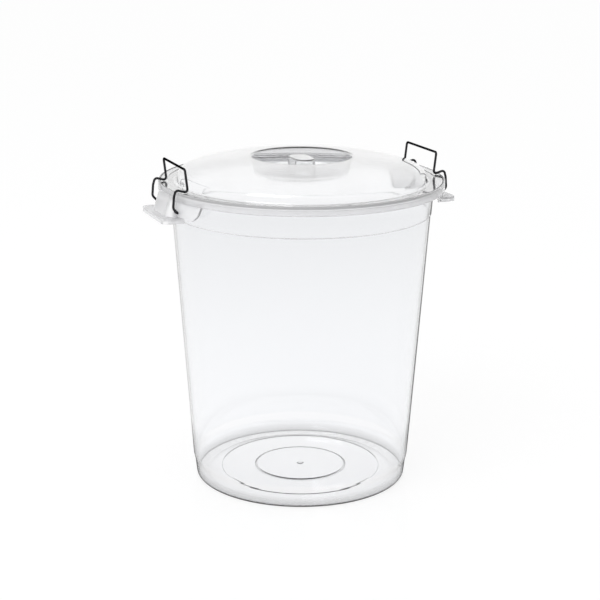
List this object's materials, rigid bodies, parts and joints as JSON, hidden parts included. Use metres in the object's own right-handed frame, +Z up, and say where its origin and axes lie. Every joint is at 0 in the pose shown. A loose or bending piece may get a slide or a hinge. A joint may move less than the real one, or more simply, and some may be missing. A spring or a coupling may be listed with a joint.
{
  "type": "storage bin with lid",
  "caption": "Round tapered clear plastic storage bin with a domed clear lid, a sunk finger grip and sprung wire clips on two carrying ears.",
  "frame": {"origin": "on the ground under the middle of the bin", "axes": "+Z up, the two clips and ears on the X axis"},
  "size_m": [0.404, 0.3696, 0.4305],
  "materials": {
    "bucket": "clear, glossy, water white",
    "lid": "clear, glossy, water white",
    "clip_wire": "drawn steel wire, bright"
  },
  "bodies": {
    "bin": {"bucket": "bucket"},
    "lid": {"lid": "lid"},
    "right_clip": {"right_clip": "clip_wire"},
    "left_clip": {"left_clip": "clip_wire"}
  },
  "joints": [
    {"name": "lid_lift", "type": "slide", "parent": "bin", "child": "lid", "axis": [0, 0, 1], "range_m": [0, 0.3]},
    {"name": "right_clip_hinge", "type": "hinge", "parent": "bin", "child": "right_clip", "pos_m": [0.1816, 0, 0.375], "axis": [0, 1, 0], "range_deg": [0, 70]},
    {"name": "left_clip_hinge", "type": "hinge", "parent": "bin", "child": "left_clip", "pos_m": [-0.1816, 0, 0.375], "axis": [0, -1, 0], "range_deg": [0, 70]}
  ]
}
